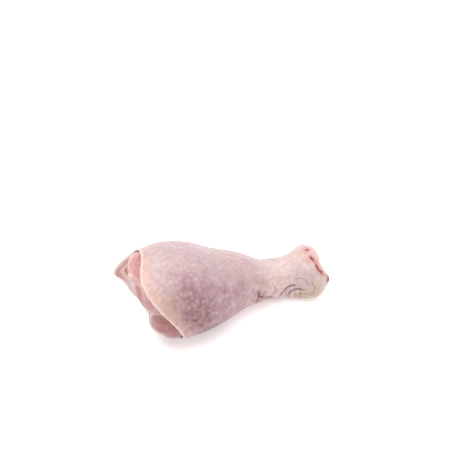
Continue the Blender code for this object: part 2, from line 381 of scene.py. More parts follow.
def curve_through(points, count=40):
    """Count points on a smooth open curve through the given ones: cubic pieces with averaged slopes."""
    points = np.array(points, dtype=float)
    t = np.linspace(0.0, len(points) - 1.0, count)
    left = np.minimum(t.astype(int), len(points) - 2)
    part = (t - left)[:, None]
    slopes = np.gradient(points, axis=0)
    a, b, m, n = points[left], points[left + 1], slopes[left], slopes[left + 1]
    return ((1 + 2 * part) * (1 - part) ** 2 * a + part * (1 - part) ** 2 * m
            + part**2 * (3 - 2 * part) * b - part**2 * (1 - part) * n)


def off_curve(x, angle, points):
    """Distance over the skin from each place to a curve, and the share of the curve at its nearest point."""
    near = np.full(np.broadcast(x, angle).shape, 1e3)
    share = np.zeros_like(near)
    track = curve_through(points)
    for i, (place, turn) in enumerate(track):
        away = np.hypot(x - place, np.radians(turned_by(angle, turn)) * half_width(x))
        closer = away < near
        near = np.where(closer, away, near)
        share = np.where(closer, i / (len(track) - 1.0), share)
    return near, share


def groove(away, share, width):
    """A groove: 1 deep in the middle, a low shoulder 2.2 widths away, and nothing left at either end."""
    ends = smooth(share / 0.22 + 0.1) * smooth((1.0 - share) / 0.22 + 0.1)
    return ends * (hump(away, 0.0, width) - 0.32 * hump(away, 2.2 * width, 1.1 * width))


def outward(grid):
    """Unit normals of a grid of points whose rows follow the leg and whose columns close round it: the cross
    product of its two directions, turned away from the middle."""
    along = np.gradient(grid, axis=0)
    round_ = np.roll(grid, -1, axis=1) - np.roll(grid, 1, axis=1)
    normal = np.cross(round_, along)
    normal /= np.maximum(np.linalg.norm(normal, axis=-1, keepdims=True), 1e-9)
    middle = grid.mean(axis=1, keepdims=True)
    flip = np.sign(((grid - middle) * normal).sum(axis=-1).mean())
    return normal * flip


# ---------------------------------------------------------------- mesh and material helpers


def sizes():
    """The sizes that the panel shows."""
    return bpy.context.scene.drumstick_sizes


def colours():
    """The colours that the panel shows."""
    return bpy.context.scene.drumstick_colours


def leg_origin():
    """Where the leg's own zero lies in the row frame, in metres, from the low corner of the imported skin."""
    angle = np.linspace(0.0, 360.0, 32, endpoint=False)
    tip = around(KNEE_RIM, angle).min() - 0.45 * sizes().skin / MM
    near = centre(np.array(BELLY_X))[0] - BELLY_HALF_WIDTH
    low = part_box("skin")[0]
    return np.array((low[0] - tip * MM, low[1] - near * MM, low[2]))


def grid_columns():
    count = sizes().columns // 1
    return np.linspace(0.0, 360.0, count, endpoint=False)[None, :]


def steps(count):
    return np.linspace(0.0, 1.0, max(3, count // (1)))[:, None]


def add_piece(name, node_name, rings, joined, masks, finish):
    """A closed piece over rings of points, which joins its last ring to its first, or else fans both ends."""
    count, columns = rings.shape[:2]
    corners = rings.reshape(-1, 3)
    first = np.arange(count if joined else count - 1)[:, None] * columns
    here = np.arange(columns)[None, :]
    after = (here + 1) % columns
    second = (first + columns) % (count * columns)
    quads = np.stack((first + here, second + here, second + after, first + after), axis=-1).reshape(-1, 4)
    faces = quads.tolist()
    values = {key: mask.reshape(-1) for key, mask in masks.items()}
    if not joined:
        start, last = count * columns, (count - 1) * columns
        corners = np.vstack((corners, rings[0].mean(axis=0), rings[-1].mean(axis=0)))
        faces += [(start, i, (i + 1) % columns) for i in range(columns)]
        faces += [(start + 1, last + (i + 1) % columns, last + i) for i in range(columns)]
        values = {key: np.append(v, (v[0], v[-1])) for key, v in values.items()}
    mesh = bpy.data.meshes.new(name)
    mesh.from_pydata((corners * MM + leg_origin()).tolist(), [], faces)
    for key, value in values.items():
        mesh.attributes.new(key, "FLOAT", "POINT").data.foreach_set("value", value.astype(np.float32))
    mesh.materials.append(finish)
    mesh.shade_smooth()
    piece = bpy.data.objects.new(name, mesh)
    bpy.context.scene.collection.objects.link(piece)
    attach(piece, "root")
    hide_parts(node_name)
    return piece


def link(tree, source, target):
    """Joins a source socket to a target socket, or sets a number or an opaque colour on it."""
    if isinstance(source, bpy.types.NodeSocket):
        tree.links.new(source, target)
    elif isinstance(source, (int, float)):
        target.default_value = source
    else:
        target.default_value = (*source, 1.0)


def set_inputs(node, **values):
    """Sets a node's inputs, each by its name with underscores for spaces."""
    for key, value in values.items():
        node.inputs[key.replace("_", " ")].default_value = value


def blend(tree, factor, under, over):
    """Over shows where factor is 1, under where it is 0."""
    made = tree.nodes.new("ShaderNodeMix")
    made.data_type = "RGBA"
    link(tree, factor, made.inputs[0])
    link(tree, under, made.inputs[6])
    link(tree, over, made.inputs[7])
    return made.outputs[2]


def sum_of(tree, operation, *values):
    """A Math node over one, two or three values."""
    made = tree.nodes.new("ShaderNodeMath")
    made.operation = operation
    for value, socket in zip(values, made.inputs):
        link(tree, value, socket)
    return made.outputs[0]


def mask_of(tree, name):
    """The value of one of the mesh's own masks."""
    made = tree.nodes.new("ShaderNodeAttribute")
    made.attribute_name = name
    return made.outputs["Fac"]


def lay(tree, colour, *coats):
    """Lays coats over a colour, each by its mask times its strength: a mask or its name, strength, colour."""
    for mask, strength, over in coats:
        source = mask_of(tree, mask) if isinstance(mask, str) else mask
        colour = blend(tree, sum_of(tree, "MULTIPLY", source, strength), colour, over)
    return colour


def new_group(name, inputs, outputs):
    """An empty shader group with named number sockets, and a vector called Place."""
    tree = bpy.data.node_groups.new(name, "ShaderNodeTree")
    tree.interface.new_socket("Place", in_out="INPUT", socket_type="NodeSocketVector")
    for key, value in inputs.items():
        socket = tree.interface.new_socket(key, in_out="INPUT", socket_type="NodeSocketFloat")
        socket.default_value = value
    for key in outputs:
        tree.interface.new_socket(key, in_out="OUTPUT", socket_type="NodeSocketFloat")
    return tree, tree.nodes.new("NodeGroupInput").outputs, tree.nodes.new("NodeGroupOutput").inputs


def noise_texture(tree, place, scale, detail, roughness=0.5, distortion=0.0):
    """Smooth noise from 0 to 1 over a place."""
    made = tree.nodes.new("ShaderNodeTexNoise")
    set_inputs(made, Detail=detail, Roughness=roughness, Distortion=distortion)
    tree.links.new(place, made.inputs["Vector"])
    tree.links.new(scale, made.inputs["Scale"])
    return made.outputs["Fac"]


def mottle_group():
    """Soft uneven blotches: noise over a place stretched along the leg, spread out by its contrast."""
    name = "tissue_mottle"
    if name in bpy.data.node_groups:
        return bpy.data.node_groups[name]
    tree, given, out = new_group(name, {"Scale": 120.0, "Contrast": 2.0, "Stretch": 1.0}, ("Mask", "Height"))
    squeeze = tree.nodes.new("ShaderNodeVectorMath")
    squeeze.operation = "MULTIPLY"
    spread = tree.nodes.new("ShaderNodeCombineXYZ")
    link(tree, given["Stretch"], spread.inputs[0])
    link(tree, 1.0, spread.inputs[1])
    link(tree, 1.0, spread.inputs[2])
    tree.links.new(given["Place"], squeeze.inputs[0])
    tree.links.new(spread.outputs[0], squeeze.inputs[1])
    waves = noise_texture(tree, squeeze.outputs[0], given["Scale"], 3.0, 0.55, 0.4)
    centred = sum_of(tree, "SUBTRACT", waves, 0.5)
    clamp = tree.nodes.new("ShaderNodeClamp")
    link(tree, sum_of(tree, "MULTIPLY_ADD", centred, given["Contrast"], 0.5), clamp.inputs[0])
    tree.links.new(clamp.outputs[0], out["Mask"])
    tree.links.new(waves, out["Height"])
    return tree


def film_group():
    """Moisture: roughness falls from dry to wet where noise is high, and finer noise is a height."""
    name = "moist_film"
    if name in bpy.data.node_groups:
        return bpy.data.node_groups[name]
    tree, given, out = new_group(name, {"Dry": 0.5, "Wet": 0.25, "Scale": 200.0}, ("Roughness", "Height"))
    spread = tree.nodes.new("ShaderNodeMapRange")
    set_inputs(spread, From_Min=0.38, From_Max=0.62)
    tree.links.new(noise_texture(tree, given["Place"], given["Scale"], 2.0), spread.inputs["Value"])
    tree.links.new(given["Dry"], spread.inputs["To Min"])
    tree.links.new(given["Wet"], spread.inputs["To Max"])
    finer = sum_of(tree, "MULTIPLY", given["Scale"], 6.0)
    tree.links.new(spread.outputs[0], out["Roughness"])
    tree.links.new(noise_texture(tree, given["Place"], finer, 3.0), out["Height"])
    return tree


def place_group(tree, group, place, **values):
    """One use of a group in a material, with its own values."""
    made = tree.nodes.new("ShaderNodeGroup")
    made.node_tree = group
    tree.links.new(place, made.inputs["Place"])
    set_inputs(made, **values)
    return made.outputs


def mottle(tree, place, scale, contrast, stretch=1.0):
    """One use of the blotches."""
    return place_group(tree, mottle_group(), place, Scale=scale, Contrast=contrast, Stretch=stretch)


def new_finish(name, subsurface, coat, specular=0.5):
    """A Principled material of moist tissue, with the object's own coordinates."""
    made = bpy.data.materials.new(name)
    made.use_nodes = True
    tree = made.node_tree
    surface = tree.nodes["Principled BSDF"]
    set_inputs(surface, Subsurface_Weight=subsurface, Subsurface_Radius=(1.0, 0.55, 0.45),
               Subsurface_Scale=1.8 * MM, Specular_IOR_Level=specular, Coat_Weight=coat,
               Coat_Roughness=0.18, Coat_IOR=1.38)
    return made, tree, surface, tree.nodes.new("ShaderNodeTexCoord").outputs["Object"]


def join(tree, surface, colour, film, height, strength, distance):
    """Gives a surface its colour, the film's roughness, and a fine relief on its normal."""
    tree.links.new(colour, surface.inputs["Base Color"])
    tree.links.new(film["Roughness"], surface.inputs["Roughness"])
    relief = tree.nodes.new("ShaderNodeBump")
    set_inputs(relief, Strength=strength, Distance=distance)
    tree.links.new(height, relief.inputs["Height"])
    tree.links.new(relief.outputs["Normal"], surface.inputs["Normal"])


# ---------------------------------------------------------------- skin


def skin_patches(x, angle, points):
    """Where each tint of the skin lies, as masks from 0 to 1: its patches added up, made uneven by noise."""
    knee = x - around(KNEE_RIM, angle)
    hock = around(HOCK_RIM, angle) - x
    broad = noise(points, 7.0, 1.0)
    fine = noise(points, 2.6, 2.0)
    masks = {key: sum(strength * patch(x, angle, *where) for strength, *where in patches)
             for key, patches in TINTS.items()}
    masks["fat_band"] = smooth(1.0 - knee / 11.0) * (0.35 + 0.65 * patch(x, angle, -18.0, 45.0, 40.0, 55.0))
    masks["cream"] = smooth((x - 42.0) / 14.0) * (0.25 + 0.75 * arc(angle, 100.0, 62.0))
    masks["hock_pale"] = masks["hock_pale"] + smooth(1.0 - hock / 4.5)
    return {key: np.clip(masks[key] * (plain + by_broad * broad + by_fine * fine), 0, 1)
            for key, (plain, by_broad, by_fine) in UNEVEN.items()}


def skin_relief(x, angle, points):
    """Height of the skin over the smooth leg in millimetres, and masks of the pores, creases and cuts.

    Pores rise in rows, the skin swells and dips softly, and creases and knife cuts sink along their curves.
    Pores, dips and folds fade out at both edges."""
    s = sizes()
    knee = x - around(KNEE_RIM, angle)
    hock = around(HOCK_RIM, angle) - x
    feathered = (1.0 - 0.72 * smooth((x - 40.0) / 14.0)) * (0.3 + 0.7 * smooth((knee - 1.0) / 7.0))
    varied = np.clip(0.75 + 0.45 * noise(points, 9.0, 3.0) + 0.3 * noise(points, 4.0, 35.0), 0, 1)
    spots = pores(x, angle, s.pore_spacing / MM, s.pore_width / MM) * feathered * varied
    soft = 0.42 * noise(points, 15.0, 4.0) + 0.16 * noise(points, 6.0, 5.0) + 0.07 * noise(points, 1.7, 6.0)
    soft = soft + 0.32 * smooth((x - 40.0) / 12.0) * noise(points, 4.6, 24.0)
    creases = grooves(x, angle, CREASES)
    ankle = grooves(x, angle, ANKLE_CREASES)
    swollen = sum(rise * patch(x, angle, *where) for *where, rise in SWELLINGS)
    swollen = swollen + 0.55 * hump(hock, 2.4, 1.7) * (1.0 + 0.9 * noise(points, 4.0, 21.0))
    cuts, blood = hock_cuts(x, angle, points)
    folds = shank_folds(x, angle, points)
    quiet = smooth(knee / 3.0 + 0.15) * smooth(hock / 2.5 + 0.15)
    sunk = (s.crease_depth * creases + s.fold_depth * ankle + s.cut_depth * cuts) / MM
    height = (s.pore_height / MM * spots + soft + folds) * quiet + swollen - sunk
    masks = {
        "spots": spots,
        # The creases and folds masks carry painted shade into the skin's colour.
        "creases": np.clip(creases + 0.9 * ankle, 0, 1),
        "cuts": cuts,
        "blood": blood,
        "folds": np.clip(-2.5 * folds, 0, 1),
    }
    return height, masks


def grooves(x, angle, curves):
    """Several grooves added up, each with its own width and share of the depth."""
    return sum(share * groove(*off_curve(x, angle, track), width) for width, share, track in curves)


def hock_cuts(x, angle, points):
    """The knife cuts, ragged bells across their curves, and the reddened skin in a wider bell round them."""
    ragged = 1.0 + 0.45 * noise(points, 1.5, 25.0)
    cuts = np.zeros(points.shape[:-1])
    sore = patch(x, angle, 76.4, 80.0, 2.4, 15.0) * (0.8 + 0.6 * noise(points, 2.0, 27.0))
    for track in HOCK_CUTS:
        away, share = off_curve(x, angle, track)
        ends = smooth(share / 0.3 + 0.2) * smooth((1.0 - share) / 0.3 + 0.2)
        cuts = np.maximum(cuts, ends * hump(away * ragged, 0.0, 0.55))
        sore = np.maximum(sore, hump(away, 0.0, 2.1) * (0.75 + 0.6 * noise(points, 2.0, 26.0)))
    return np.clip(cuts, 0, 1), np.clip(sore, 0, 1)


def shank_folds(x, angle, points):
    """Fine folds across the shank: waves along the leg whose phase wanders, strongest near the knuckle."""
    phase = x * 2.6 + 2.2 * noise(points, 9.0, 7.0) + 1.5 * np.sin(np.radians(angle) * 2.0)
    low = arc(angle, -22.0, 36.0) + 0.7 * arc(angle, 250.0, 45.0)
    where = (hump(x, 65.0, 9.0) + 0.6 * hump(x, 46.0, 5.0)) * low * (0.8 + 0.7 * noise(points, 4.5, 23.0))
    return -0.4 * where * smooth(np.sin(phase) * 0.9 + 0.1)


def skin_edges(angle):
    """The skin's knee and hock edges along the leg: its rims, ragged by noise and drawn out at the flap."""
    start = leg_point(np.zeros_like(angle), angle)
    ragged = 0.35 * noise(start, 5.0, 8.0) + 0.18 * noise(start, 1.8, 9.0)
    drawn_out = sum(reach * arc(angle, middle, breadth) for middle, breadth, reach in FLAP_EDGE)
    return around(KNEE_RIM, angle) + ragged - drawn_out, around(HOCK_RIM, angle) + ragged


def skin_outside(angle, knee, hock):
    """The skin's outer side from knee to hock with its relief, the relief's height, and its masks.

    The flap curls out at its edge, and what would sink below the floor stays on it."""
    x = knee + (hock - knee) * steps(SKIN_ROWS)
    plain = leg_point(x, angle)
    height, masks = skin_relief(x, angle, plain)
    curl = 0.9 * np.exp(-(x - knee) / 2.5) * patch(x, angle, -28.0, 180.0, 30.0, 40.0)
    outer = plain + outward(plain) * (height + curl)[..., None]
    outer[..., 2] = np.maximum(outer[..., 2], 0.0)
    tints = skin_patches(x, angle, plain)
    masks["spots"] = masks["spots"] * (1.0 - 0.45 * tints["bruise_and_shade"])
    fat = hump(x, knee, 0.7) * (1.0 - 0.85 * arc(angle, FLAP_ANGLE, 42.0))
    masks["rim"] = np.maximum(fat, 0.8 * hump(x, hock, 0.9))
    masks["membrane"] = patch(x, angle, -22.0, 218.0, 40.0, 22.0) * smooth(1.0 - (x - knee) / 4.0)
    return outer, height, {**tints, **masks}


def skin_inside(angle, knee, hock, height):
    """The skin's inner side from hock to knee, and its masks. Its rows stand closer near both edges.

    It sinks with the grooves outside and waves a little. Inward it swells as a ridge of fat behind the
    flap's edge, and as a low lip at the hock."""
    back = 1.0 - steps(INNER_ROWS)
    closer = np.where(back < 0.5, 2.0 * back**2, 1.0 - 2.0 * (1.0 - back) ** 2)
    x = knee + (hock - knee) * closer
    depth = x - knee
    plain = leg_point(x, angle, sizes().skin / MM)
    flap = arc(angle, FLAP_ANGLE, 48.0)
    ridge = 1.3 * hump(depth, 4.6, 1.3) * flap * (1.0 + 0.6 * noise(plain, 3.5, 22.0))
    ridge = ridge + 0.35 * hump(hock - x, 1.6, 2.2)
    beside = np.round(closer[:, 0] * (len(height) - 1)).astype(int)
    follow = 0.6 * np.minimum(height[beside], 0.0)
    wavy = 0.12 * noise(plain, 2.4, 10.0)
    inner = plain + outward(plain) * (follow - ridge + wavy)[..., None]
    thin = np.clip(1.5 * patch(x, angle, -22.0, 218.0, 40.0, 17.0), 0, 1)
    masks = {
        "inner": np.ones_like(depth),
        "fat_ridge": np.clip(1.4 * hump(depth, 4.7, 1.15) * flap * (1.0 + 2.5 * wavy), 0, 1),
        "flap_band": smooth((3.9 - depth) / 1.2),
        "membrane": thin * smooth((9.0 - depth) / 3.5),
        "rim": hump(depth, 0.0, 0.5) * (1.0 - 0.85 * arc(angle, FLAP_ANGLE, 42.0)),
    }
    return inner, masks


def make_skin():
    """Rings down the outside from knee to hock, round the rim, back up the inside and round the knee rim.

    The rings round a rim take their masks from the outside's last ring there, with fat all round the hock."""
    angle = grid_columns()
    reach = 0.5 * sizes().skin / MM
    knee, hock = skin_edges(angle)
    outer, height, outer_masks = skin_outside(angle, knee, hock)
    inner, inner_masks = skin_inside(angle, knee, hock, height)
    hock_edge = rim_arc(outer[-1], inner[0], reach)
    knee_edge = rim_arc(inner[-1], outer[0], -reach)
    rings = np.concatenate((outer, hock_edge, inner, knee_edge))
    rows = len(hock_edge)
    masks = {}
    for key in dict.fromkeys((*outer_masks, *inner_masks)):
        outside = outer_masks.get(key, np.zeros(outer.shape[:2]))
        inside = inner_masks.get(key, np.zeros(inner.shape[:2]))
        at_hock, at_knee = np.repeat(outside[-1:], rows, axis=0), np.repeat(outside[:1], rows, axis=0)
        masks[key] = np.concatenate((outside, at_hock, inside, at_knee))
    masks["rim"][len(outer):len(outer) + rows] = 1.0
    return add_piece("drumstick_skin", "skin", rings, True, masks, skin_finish())


def rim_arc(start, end, reach):
    """Three rings that carry the skin round its edge: a half circle of that reach along the leg."""
    turn = np.radians(np.array((45.0, 90.0, 135.0)))[:, None, None]
    middle, arm = (start + end) / 2.0, (start - end) / 2.0
    return middle + arm * np.cos(turn) + np.array((reach, 0.0, 0.0)) * np.sin(turn)


def skin_finish():
    """Moist skin: pink with pale pores, tinted by its patches, with fat at the rims and blood in the cuts."""
    c = colours()
    made, tree, surface, place = new_finish("moist_chicken_skin", subsurface=0.22, coat=0.08, specular=0.35)
    blush = mottle(tree, place, 60.0, 3.0)
    broad = mottle(tree, place, 85.0, 2.2)
    middling = mottle(tree, place, 260.0, 2.6)
    grain = mottle(tree, place, 520.0, 3.8)
    film = place_group(tree, film_group(), place, Dry=0.52, Wet=0.34, Scale=330.0)
    outside = lay(
        tree, c.skin,
        (broad["Mask"], 0.32, c.mauve),
        (blush["Mask"], 0.22, c.salmon),
        ("cream", 1.0, c.cream),
        # Mauve and deep mauve patches: the skin's own tints, with painted shade on the belly's lower side.
        ("mauve", 1.0, c.mauve),
        ("bruise_and_shade", 1.0, c.bruise_and_shade),
        # Painted shade in the ankle's folds, in deep mauve.
        ("ankle_fold_shade", 0.3, c.bruise_and_shade),
        ("fat_band", 0.9, c.peach),
        ("warm", 0.7, c.peach),
        ("ochre", 0.7, c.ochre),
        ("knuckle", 0.85, c.lavender),
        ("callus", 0.85, c.callus),
        ("hock_pale", 0.75, c.cream),
        ("spots", 0.46, c.pale),
        (middling["Mask"], 0.31, c.pale),
        (grain["Mask"], 0.27, c.mauve),
        # Painted shade in the creases, in deep mauve.
        ("creases", 0.68, c.bruise_and_shade),
        ("blood", 0.75, c.blood),
        ("cuts", 1.0, c.cut),
        # Painted shade in the troughs of the shank's folds.
        ("folds", 0.4, c.bruise_and_shade),
    )
    inside = lay(tree, c.salmon, ("flap_band", 1.0, c.flap), ("fat_ridge", 1.0, c.fat))
    colour = lay(
        tree, outside,
        ("inner", 1.0, inside),
        ("membrane", 1.0, c.membrane),
        ("rim", 0.65, c.fat),
        # Painted shadow at the hock's tip.
        ("tip_shadow", 1.0, c.tip_shadow),
    )
    join(tree, surface, colour, film, film["Height"], strength=0.25, distance=0.25 * MM)
    return made


# ---------------------------------------------------------------- meat


def muscle_rises(y, z):
    """Height of each muscle's end over the cut face: a leaning oval dome that falls by distance squared.

    The places are first shifted by broad noise, so that the seams between the muscles wander."""
    rises = {}
    places = np.stack((0.0 * y, y, z), axis=-1)
    y, z = y + 1.5 * noise(places, 8.0, 31.0), z + 1.5 * noise(places, 8.0, 32.0)
    for name, (across, up, length, breadth, lean, rise) in MUSCLES.items():
        turn = math.radians(lean)
        u = (y - across) * math.cos(turn) + (z - up) * math.sin(turn)
        v = (z - up) * math.cos(turn) - (y - across) * math.sin(turn)
        rises[name] = rise * (1.0 - 0.5 * ((u / length) ** 2 + (v / breadth) ** 2))
        rises[name] = rises[name] - FACE_LEAN * np.maximum(0.0, LEAN_BELOW - z)
    return rises


def face_height(y, z, sharpness=0.55):
    """The muscles' ends joined by a soft maximum, which leaves creases between them, and each one's share."""
    rises = muscle_rises(y, z)
    weights = {name: np.exp(rise / sharpness) for name, rise in rises.items()}
    total = sum(weights.values())
    shares = {name: weight / total for name, weight in weights.items()}
    return sharpness * np.log(total), shares


def bone_point(x, angle, grown=0.0, shrink=1.0):
    """Points on the oval round the bone at x, shrunk by a share and then grown by a length."""
    turn = np.radians(angle)
    wide, tall = bone_half(x)
    across, up = centre(x)
    y = across - (wide * shrink + grown) * np.cos(turn)
    z = up + (tall * shrink + grown) * np.sin(turn)
    return np.stack(np.broadcast_arrays(x, y, z), axis=-1)


def meat_side(angle, start, rim):
    """The meat's side from its shoulder to its end: places along, points, and how bare of skin it lies.

    Rows stand close up to 6 mm behind the skin's rim and wide past it. Bare meat swells out past the gap."""
    shown_end = rim + 6.0
    shown = start + (shown_end - start) * steps(SHOWN_ROWS)
    hidden = shown_end + (MEAT_END_X - shown_end) * steps(HIDDEN_ROWS)[1:]
    x = np.concatenate((shown, hidden))
    even = start + (MEAT_END_X - start) * np.linspace(0, 1, len(x))[:, None]
    x = np.where(shown_end < start, even, x)
    bare = smooth((rim - 1.6 - x) / 4.0)
    return x, leg_point(x, angle, sizes().skin / MM + GAP - 1.2 * bare), bare


def cut_face(angle, edge):
    """The cut face, from the hole round the bone out to the edge: how far out, dome, points, muscle shares.

    The muscles' ends rise over a dome that falls to nothing at the edge, and a funnel sinks to the bone."""
    pit = bone_point(PIT_X, angle, GAP)
    out = np.sin(steps(FACE_ROWS)[:-1] * math.pi / 2) * np.ones_like(angle)
    y = pit[..., 1] + (edge[..., 1] - pit[..., 1]) * out
    z = pit[..., 2] + (edge[..., 2] - pit[..., 2]) * out
    rise, shares = face_height(y, z)
    dome = np.sqrt(1.0 - out**2.6)
    funnel = 0.15 + 0.85 * smooth(out / 0.42)
    x = edge[..., 0] + (FACE_X - rise * funnel - edge[..., 0]) * dome
    return out, dome, np.stack((x, y, z), axis=-1), shares


def roughened(face, side, dome, bare):
    """Face and side with their relief, pushed away from the leg's middle, and towards the knee on the face.

    The relief fades in over the first sixth of the face, and drops to 0.3 of itself under the skin."""
    surface = np.concatenate((face, side))
    fading = smooth(steps(FACE_ROWS)[:-1] * 6.0) * np.ones_like(dome)
    relief = meat_relief(surface) * np.concatenate((fading, 0.3 + 0.7 * bare))
    across, up = centre(surface[..., 0])
    to_knee = -0.8 * np.concatenate((dome, np.zeros_like(bare)))
    away = np.stack((to_knee, (surface[..., 1] - across) / 30.0, (surface[..., 2] - up) / 30.0), axis=-1)
    away /= np.maximum(np.linalg.norm(away, axis=-1, keepdims=True), 1e-6)
    surface = surface + away * relief[..., None]
    surface[..., 2] = np.maximum(surface[..., 2], 0.05)
    return surface


def make_meat():
    """Rings out over the cut face, down the side inside the skin, and back through the bone's hole."""
    angle = grid_columns()
    start = around(MEAT_SHOULDER, angle)
    rim = around(KNEE_RIM, angle)
    x, side, bare = meat_side(angle, start, rim)
    out, dome, face, shares = cut_face(angle, side[:1])
    surface = roughened(face, side, dome, bare)
    hole_x = np.array((MEAT_END_X, 70.0, 66.0, 40.0, 5.0, -2.0, -6.0, -10.0, -14.0, PIT_X))
    hole = bone_point(hole_x[:, None], angle, GAP)
    rings = np.concatenate((surface, hole))
    in_hole = np.zeros(hole.shape[:2])
    side_shares = face_height(side[..., 1], side[..., 2])[1]
    masks = {name: np.concatenate((shares[name], side_shares[name], in_hole)) for name in MUSCLES}
    strongest = np.max([masks[name] for name in MUSCLES], axis=0)
    masks["seam"] = smooth((0.9 - strongest) / 0.4) * np.clip(0.75 + 0.6 * noise(rings, 6.0, 33.0), 0, 1)
    near_edge = np.concatenate((out, hump(x, start, 5.0)))
    low_edge = arc(angle, 236.0, 42.0) * smooth((near_edge - 0.66) / 0.25)
    masks["edge_film"] = np.concatenate((low_edge, in_hole))
    # Painted shade on the meat beside the skin's rim, wider and stronger on the near side.
    from_rim = np.linalg.norm(surface - leg_point(rim, angle, sizes().skin / MM), axis=-1)
    near_side = arc(angle, -5.0, 55.0)
    shaded = hump(from_rim, 0.0, 5.0 + 7.0 * near_side) * (0.25 + 0.75 * near_side)
    masks["rim_shade"] = np.concatenate((shaded, in_hole))
    sinewy = hump(out, 0.0, 0.16 * (1.0 + 0.4 * noise(face, 4.0, 34.0)))
    masks["round_bone"] = np.concatenate((sinewy, np.zeros_like(x), in_hole + 1.0))
    return add_piece("drumstick_meat", "meat", rings, True, masks, meat_finish())


def meat_relief(points):
    """Fibres and soft swellings: noise drawn out along the leg for fibres, and broad noise for swellings."""
    fibres = noise(points * np.array((0.25, 1.0, 1.0)), 0.9, 11.0)
    swellings = 0.3 * noise(points, 5.0, 12.0) + 0.12 * noise(points, 2.2, 13.0)
    return sizes().fibre_height / MM * fibres + swellings


def meat_finish():
    """Wet muscle: each muscle's own tint, streaked along its fibres, with pale silver skin in the seams."""
    c = colours()
    made, tree, surface, place = new_finish("wet_muscle", subsurface=0.25, coat=0.35)
    streaks = mottle(tree, place, 420.0, 2.5, stretch=0.2)
    broad = mottle(tree, place, 150.0, 2.4)
    film = place_group(tree, film_group(), place, Dry=0.42, Wet=0.22, Scale=260.0)
    colour = lay(
        tree, c.muscle,
        ("calf_far", 1.0, c.salmon),
        ("calf_band", 0.15, c.silver),
        ("shin", 1.0, c.dark_muscle),
        (streaks["Mask"], 0.24, c.silver),
        (broad["Mask"], 0.25, c.dark_muscle),
        ("seam", 0.6, c.silver),
        ("edge_film", 0.75, c.silver),
        # Painted shade beside the skin's rim, in the cut colour.
        ("rim_shade", 0.5, c.cut),
        ("round_bone", 0.8, c.sinew),
    )
    join(tree, surface, colour, film, streaks["Height"], strength=0.3, distance=0.2 * MM)
    return made


# ---------------------------------------------------------------- bone and cartilage


def pinched(rings, angle):
    """Draws the bone's top and bottom in where it flares, so that its end has two lobes."""
    flare = smooth((rings[..., 0] - BONE_FLARE_X) / FLARE_LENGTH)
    nip = HOCK_NOTCH * flare * hump(np.cos(np.radians(angle)), 0.0, 0.4)
    up = centre(rings[..., 0])[1]
    return np.stack((rings[..., 0], rings[..., 1], up + (rings[..., 2] - up) * (1.0 - nip)), axis=-1)


def make_bone():
    """Rings along the bone: the knee head's dome, the shaft, the flare, and the two condyles of the hock.

    At each domed end the section shrinks by the sine of an even turn while it moves out by the cosine. The
    head has a shallow pit, and the hock's end two bells side by side with a groove between them."""
    angle = grid_columns()
    turn = np.sin(steps(DOME_ROWS)[1:] * math.pi / 2)
    head_x = HEAD_END_X + HEAD_DOME * (1.0 - np.sqrt(1.0 - turn**2))
    shaft_x = np.concatenate((np.linspace(-14.2, 0.0, 10), np.linspace(10.0, 60.0, 8),
                              np.linspace(64.0, 79.8, 24)))
    hock_turn = turn[::-1]
    hock_x = HOCK_END_X - HOCK_DOME * (1.0 - np.sqrt(1.0 - hock_turn**2)) - 0.3
    head = bone_point(head_x, angle, shrink=turn)
    shaft = pinched(bone_point(shaft_x[:, None], angle), angle)
    hock = pinched(bone_point(hock_x, angle, shrink=hock_turn), angle)
    across, up = centre(80.0)
    side, rise = hock[..., 1] - across, hock[..., 2] - up
    lobes = hump(np.abs(side), 6.0, 4.0) * hump(rise, 0.0, 8.5)
    valley = hump(side, 0.0, 2.6)
    inward = smooth((1.0 - hock_turn) / 0.25)
    hock[..., 0] += (2.3 * lobes - 2.6 * valley - 0.4) * inward
    across, up = centre(-16.0)
    dent = hump(head[..., 1], across, 2.2) * hump(head[..., 2], up, 6.0)
    head[..., 0] += 1.3 * dent * smooth((0.95 - turn) / 0.3)
    rings = np.concatenate((head, shaft, hock))
    relief = 0.12 * noise(rings, 3.0, 14.0) + 0.05 * noise(rings, 1.2, 15.0)
    rings = rings + outward(rings) * relief[..., None]
    place = rings[..., 0]
    on_head, on_shaft, on_hock = (np.ones(part.shape[:2]) for part in (head, shaft, hock))
    head_margin = 0.7 * smooth((turn - 0.8) / 0.2) * on_head
    hock_margin = smooth((hock_turn - 0.78) / 0.18) * on_hock
    masks = {
        "gristle": np.maximum(smooth((-9.0 - place) / 4.0), smooth((place - 76.0) / 3.0)),
        "valley": np.concatenate((0.0 * on_head, 0.0 * on_shaft, valley * inward)),
        "margin": np.concatenate((head_margin, on_shaft, hock_margin)),
    }
    return add_piece("drumstick_bone", "bone", rings, False, masks, bone_finish())


def bone_finish():
    """Wet blue-white cartilage at the ends, with pink sinew round its margin and a red tint in the groove."""
    c = colours()
    made, tree, surface, place = new_finish("wet_cartilage", subsurface=0.35, coat=0.5)
    broad = mottle(tree, place, 170.0, 2.4)
    film = place_group(tree, film_group(), place, Dry=0.34, Wet=0.16, Scale=240.0)
    colour = lay(
        tree, c.sinew,
        ("gristle", 1.0, c.cartilage),
        (broad["Mask"], 0.3, c.silver),
        ("valley", 0.55, c.salmon),
        ("margin", 0.8, c.sinew),
    )
    join(tree, surface, colour, film, film["Height"], strength=0.2, distance=0.2 * MM)
    return made


# ---------------------------------------------------------------- stage

# The lens and its sensor in millimetres, the width in metres that it sees at the leg, the angle that it looks
# from in degrees, and how far right of the leg's zero and above it the point lies that it looks at.
LENS, SENSOR, FRAME_WIDTH = 90.0, 36.0, 0.2601
CAMERA_AZIMUTH, CAMERA_ELEVATION = -22.0, 42.0
AIM_RIGHT, AIM_UP = 0.0255, 0.05445

# Each light's name, place, size and power, then the strength of the sky and of the floor's own glow.
SOFTBOXES = (
    ("overhead", (-0.2, 0.1, 1.3), 1.5, 17.0),
    ("front_fill", (-0.5, -1.1, 0.7), 0.9, 1.0),
)
SKY_STRENGTH = 0.72
FLOOR_HALF, FLOOR_GLOW = 6.0, 0.3


